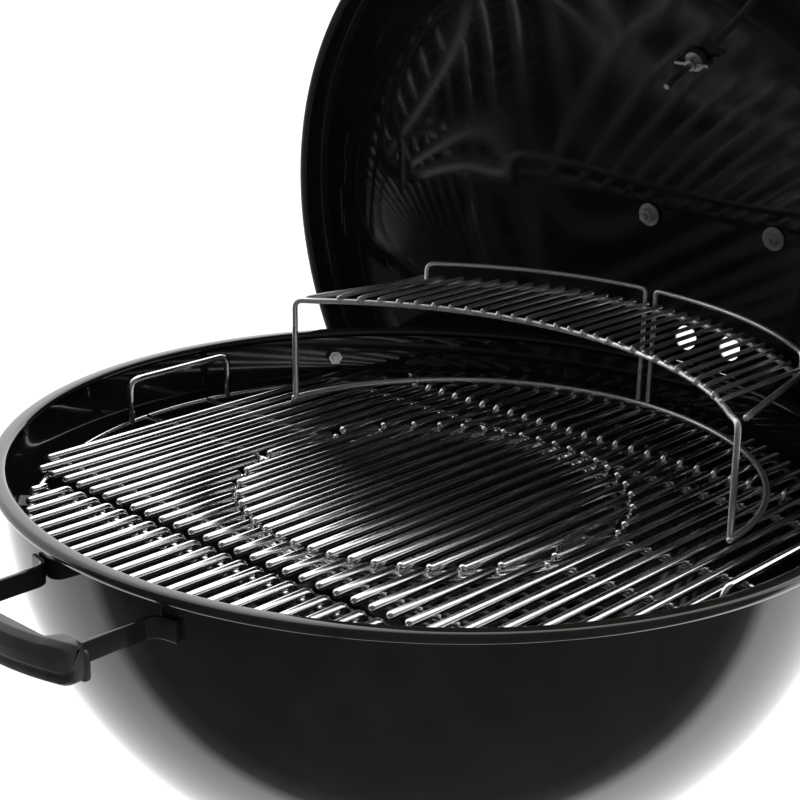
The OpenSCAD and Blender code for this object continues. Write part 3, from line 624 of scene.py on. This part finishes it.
def make_rack():
    wire_r = 2.2
    foot_z = (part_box("rack_frame")[0].z - AXIS.z) * 1000 + wire_r
    rack = Shape()
    leg_x, leg_y = RACK_LEG
    leg = [Vector((leg_x, leg_y, SHELF_Z)), Vector((leg_x, leg_y + 2, foot_z + wire_r))]
    side = [Vector((*BACK_CORNER, SHELF_Z)), Vector((195, 72, SHELF_Z))]
    for rail, step, ends, bend in ((FRONT_RAIL, 6.6, leg, 6), (BACK_RAIL, 5.82, side, 12)):
        places = (i * step for i in range(-RAIL_STEPS, RAIL_STEPS + 1))
        bow = [Vector((x, rail_y(rail, x), SHELF_Z)) for x in places]
        left = rounded(mirrored(ends[::-1]) + bow[:1], bend)
        rack.tube(left + bow + rounded([bow[-1], *ends], bend)[1:], wire_r)
    rack.tube([p + Vector((0, 50, 0)) for p in arc(198, foot_z, 3, 177, 90)], wire_r)
    for i in range(-13, 14, 2):
        x = i * SHELF_PITCH
        rack.ball((x, rail_y(FRONT_RAIL, x) - 1.4, SHELF_Z + 1.6), 3.1, 0.9)
    rack.make("rack_frame_wires", KETTLE, STAINLESS, "rack", ["rack_frame"])

    guards = Shape()
    guard_z, post_x, end_x = 64, 4.6, 170.6
    rail = [Vector((i * 6.05, rail_y(GUARD_RAIL, i * 6.05), guard_z)) for i in range(2, 27)]
    middle = Vector((post_x, rail_y(GUARD_RAIL, post_x), guard_z))
    end = Vector((end_x, rail_y(GUARD_RAIL, end_x), guard_z))
    path = rounded([Vector((post_x, middle.y, foot_z + 4)), middle, rail[0]], 4) + rail[1:]
    path += rounded([rail[-1], end, Vector((end_x, end.y, SHELF_Z - 2))], 6)[1:]
    guards.tube(path, 1.8)
    guards.tube(mirrored(path), 1.8)
    guards.make("rack_guard_wires", KETTLE, STAINLESS, "rack", ["rack_guards"])

    shelf = Shape()
    for k in range(-14, 15):
        x = k * SHELF_PITCH
        z = SHELF_Z + wire_r + 1.6
        nose, tail = rail_y(FRONT_RAIL, x), rail_y(BACK_RAIL, x)
        shelf.tube([(x, nose - 2.6, z - 0.6), (x, nose + 2, z), (x, tail + 1.6, z)], 1.6, 12)
    shelf.make("rack_shelf_wires", KETTLE, STAINLESS, "rack", ["rack_shelf"])


make_rack()


def make_charcoal_grate():
    shape = Shape()
    rod_pitch, rod_r = 24, 3
    under_z = CHARCOAL_Z - 2 * rod_r
    for k in range(-8, 9):
        y = k * rod_pitch
        reach = chord(CHARCOAL_R, y) - 2
        shape.tube([(-reach, y, CHARCOAL_Z), (reach, y, CHARCOAL_Z)], rod_r)
    shape.tube(arc(CHARCOAL_R - 9, under_z, 0, 356, 88), rod_r, closed=True)
    for x in (-70, 70):
        shape.tube([(x, -184, under_z), (x, 184, under_z)], rod_r)
    shape.make("charcoal_grate_rods", KETTLE, FUEL, "charcoal", ["charcoal_grate"])


make_charcoal_grate()


def make_holder():
    """Rod from the sides of the bowl round behind the lid."""
    turn = math.radians(58.5)
    out = WALL_R + 3.4
    half_x, side_y, back, low_z, dip = 306, 190, 164, -36, 28
    curve = []
    for i in range(2, 59):
        a = math.radians(180 - 3 * i)
        curve.append(Vector((half_x * math.cos(a), side_y + back * math.sin(a), low_z - dip * math.sin(a))))
    start = Vector((-out * math.sin(turn), out * math.cos(turn), low_z))
    bend = rounded([start, Vector((-half_x, side_y, low_z)), curve[0]], 14, 8)[:-1]
    shape = Shape()
    shape.tube(bend + curve + mirrored(bend[::-1]), 4.5, 18)
    shape.make("lid_holder_rod", KETTLE, ENAMEL, "kettle", ["lid_holder"])


make_holder()


# ---------- bowl handle ----------

STRAP_X, STRAP_FRONT, STRAP_MID = 47.5, -346, -22.5
GRIP_FRONT, GRIP_LOW, GRIP_HIGH = -357, -34.5, -10.5
CLIP_X, CLIP_Y = 53.6, -332.6


def make_handle():
    strap = Shape()
    corners = [(-1.5, -6.5), (1.5, -6.5), (1.5, 6.5), (-1.5, 6.5)]
    section = [tuple(p) for p in rounded(corners, 0.9, 3, closed=True)]
    wall = WALL_R + 1.9
    end_x = 64
    for s in (-1, 1):
        arm = rounded([(STRAP_X, STRAP_FRONT, STRAP_MID), (STRAP_X, -chord(wall, STRAP_X), STRAP_MID),
                       (end_x, -chord(wall, end_x), STRAP_MID)], 10, 10)
        strap.sweep([(s * p.x, p.y, p.z) for p in arm], section)
    strap.sweep([(-STRAP_X, STRAP_FRONT, STRAP_MID), (STRAP_X, STRAP_FRONT, STRAP_MID)], section)
    strap.make("handle_strap_bar", KETTLE, ENAMEL, "kettle", ["handle_strap"])

    grip = Shape()
    rings = []
    tip = [52.5, 54.4, 55.8, 56.6, 57]
    stations = [-x for x in tip[::-1]] + list(range(-50, 51, 2)) + tip
    for x in stations:
        cuff = min(1, max(0, (abs(x) - 35) / 8))
        cuff = cuff * cuff * (3 - 2 * cuff)
        end = max(0, (abs(x) - 51) / 6)
        shrink = 3.4 * (1 - math.sqrt(max(0, 1 - end * end)))
        front = GRIP_FRONT + 0.0032 * x * x + shrink
        back = -340 + 8 * cuff - shrink
        low, high = GRIP_LOW + shrink, GRIP_HIGH - 0.6 * (1 - cuff) - shrink
        section = [(front + 3.4, low), (front + 0.9, low + 2), (front + 0.9, low + 5),
                   (front + 1.8, low + 5.7), (front + 1.8, low + 7.7), (front, low + 8.6),
                   (front, high - 8), (front + 2.4, high - 2.6), (front + 6.2, high),
                   (back - 4.6, high - 0.2), (back - 0.9, high - 3.2), (back, high - 8),
                   (back, low + 5), (back - 1.4, low + 1), (back - 4, low)]
        smooth = rounded([(*point, 0) for point in section], 1.6, 3, closed=True)
        rings.append([Vector((x, q.x, q.y)) for q in smooth])
    grip.rings(rings)
    for s in (-1, 1):
        clip_top = (s * CLIP_X, CLIP_Y, STRAP_MID + 2)
        grip.tube([(s * CLIP_X, CLIP_Y, GRIP_LOW + 1.2), clip_top], 3)
        grip.ball(clip_top, 3)
    grip.make("handle_grip_moulding", KETTLE, NYLON, "kettle", ["handle_grip"], 50)


make_handle()


# ---------- lid handle, dial and tyres ----------

def make_lid_handle():
    post_low, grip_z, grip_r, half = 166.6, 210, 13, 72
    handle = Shape()
    rings = []
    tip = [67, 69.5, 71, 71.7, half]
    for x in [-x for x in tip[::-1]] + list(range(-64, 65, 8)) + tip:
        past = max(0, (abs(x) - 64) / 8)
        r = grip_r - 8 * (1 - math.sqrt(1 - past * past)) - 1.1 * math.cos(x / half * math.pi / 2)
        rings.append([Vector((x, 0, grip_z)) + Vector((0, r * math.cos(a), r * math.sin(a)))
                      for a in (math.radians(9 * k) for k in range(40))])
    handle.rings(rings)
    for s in (-1, 1):
        post = ((post_low, 9.6), (post_low + 0.8, 10.4), (post_low + 3, 10.4), (post_low + 7, 9),
                (grip_z - 18, 8.6), (grip_z - 10, 9.6), (grip_z - 4, 10.4))
        handle.rings([circle((s * BOLT_X, 0, z), r, 40) for z, r in post])
    handle.make("lid_handle_moulding", LID, NYLON, "lid", ["lid_handle"])


def make_dial_scale():
    """Plain ticks without numbers, every third one long."""
    scale = Shape()
    tick_z = 5.95
    for k in range(28):
        a = math.radians(-45 + 10 * k)
        ends = [(r * math.cos(a), r * math.sin(a), tick_z) for r in (20.5 if k % 3 == 0 else 23, 26)]
        for end in ends:
            scale.ball(end, 0.55, 0.4)
        scale.tube(ends, 0.3, 8)
    scale.make("thermometer_scale", THERMO, NYLON, "lid", [])


def make_tyres():
    for node, body in (("tyre_left", "left_wheel"), ("tyre_right", "right_wheel")):
        low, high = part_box(node)
        r, half = (high.z - low.z) * 500, (high.x - low.x) * 500
        groove = 2
        # radius, place across the tyre, and row of tread blocks that the point belongs to, or 0
        profile = [(r - 18, 1 - half, 0), (r - 6, -half, 0), (r - 1.5, 3 - half, 0), (r, 7 - half, 1),
                   (r, -1.3, 1), (r - groove, -1.2, 0), (r - groove, 1.2, 0), (r, 1.3, 2),
                   (r, half - 7, 2), (r - 1.5, half - 3, 0), (r - 6, half, 0), (r - 18, half - 1, 0)]
        tyre = Shape()
        tyre.rings([[polar(radius - (groove if row and (k + 3 * row) % 6 < 2 else 0), 2 * k, z)
                     for k in range(180)] for radius, z, row in profile], closed=True)
        place = (Matrix.Translation((low + high) / 2) @ Matrix.Rotation(math.pi / 2, 4, "Y")
                 @ Matrix.Scale(0.001, 4))
        tyre.make(node + "_tread", place, RUBBER, body, [node])


make_lid_handle()
make_dial_scale()
make_tyres()


# ---------- stage, lights and camera ----------

def make_stage():
    mesh = bpy.data.meshes.new("studio_floor")
    half = 14
    corners = [(-half, -half, 0), (half, -half, 0), (half, half, 0), (-half, half, 0)]
    mesh.from_pydata(corners, [], [(0, 1, 2, 3)])
    mesh.materials.append(floor_look())
    floor = add_object("studio_floor", mesh)
    floor.visible_glossy = False   # gloss shows the studio walls instead


make_stage()

# Direction from the grill towards the photographer, in plan
FRONT = Vector((0.652, -0.758, 0))


def make_world():
    """Light walls behind and beside the grill, dark towards the camera; the camera itself sees white."""
    world = bpy.data.worlds.new("studio")
    bpy.context.scene.world = world
    world.use_nodes = True
    tree = world.node_tree
    place = tree.nodes.new("ShaderNodeTexCoord").outputs["Generated"]

    def level(axis, stops):
        """Brightness by how far a direction points along an axis, from -1 to 1."""
        dot = tree.nodes.new("ShaderNodeVectorMath")
        dot.operation = "DOT_PRODUCT"
        dot.inputs[1].default_value = axis
        tree.links.new(place, dot.inputs[0])
        scale = tree.nodes.new("ShaderNodeMapRange")
        scale.inputs["From Min"].default_value = -1
        tree.links.new(dot.outputs["Value"], scale.inputs["Value"])
        ramp = tree.nodes.new("ShaderNodeValToRGB")
        fill_ramp(ramp, [((at + 1) / 2, value) for at, value in stops])
        tree.links.new(scale.outputs["Result"], ramp.inputs["Fac"])
        return ramp.outputs["Color"]

    walls = level(FRONT, ((-1, 1.0), (-0.12, 1.0), (-0.01, 0.14), (0.12, 0.06), (1, 0.05)))
    left = level((FRONT.y, -FRONT.x, 0), ((-1, 1.0), (0, 1.0), (1, 0.5)))
    both = tree.nodes.new("ShaderNodeMix")
    both.data_type, both.blend_type = "RGBA", "MULTIPLY"
    both.inputs[MIX_FACTOR].default_value = 1
    tree.links.new(walls, both.inputs[MIX_A])
    tree.links.new(left, both.inputs[MIX_B])
    light = tree.nodes["Background"]
    light.inputs["Strength"].default_value = 2.3
    tree.links.new(both.outputs[MIX_RESULT], light.inputs["Color"])
    seen = tree.nodes.new("ShaderNodeBackground")
    seen.inputs["Color"].default_value = (1, 1, 1, 1)
    mixed = tree.nodes.new("ShaderNodeMixShader")
    ray = tree.nodes.new("ShaderNodeLightPath").outputs["Is Camera Ray"]
    for source, target in ((ray, 0), (light.outputs[0], 1), (seen.outputs[0], 2)):
        tree.links.new(source, mixed.inputs[target])
    tree.links.new(mixed.outputs[0], tree.nodes["World Output"].inputs["Surface"])


make_world()


def make_softbox():
    data = bpy.data.lights.new("top_softbox", "AREA")
    data.shape = "RECTANGLE"
    data.size = data.size_y = 2.4
    data.energy = 40
    light = add_object("top_softbox", data)
    at, target = Vector((0.3, -0.2, 3.2)), Vector((0, 0, 0.7))
    light.location = at
    light.rotation_euler = (target - at).to_track_quat("-Z", "Y").to_euler()
    light.visible_glossy = False


make_softbox()


def make_camera():
    data = bpy.data.cameras.new("camera")
    data.sensor_width = 36
    data.lens = 77.45
    data.shift_x, data.shift_y = -0.0528, -0.0156
    data.clip_end = 100
    camera = add_object("camera", data)
    forward = Vector((-0.6214, 0.7217, -0.3051)).normalized()
    right = forward.cross(Vector((0, 0, 1))).normalized()
    up = right.cross(forward)
    roll = 0.034
    right, up = (right * math.cos(roll) + up * math.sin(roll),
                 up * math.cos(roll) - right * math.sin(roll))
    rotation = Matrix((right, up, -forward)).transposed()
    camera.matrix_world = Matrix.Translation(KETTLE @ Vector((716.4, -825.3, 390.0))) @ rotation.to_4x4()
    bpy.context.scene.camera = camera


make_camera()
bpy.context.scene.view_settings.view_transform = "Standard"
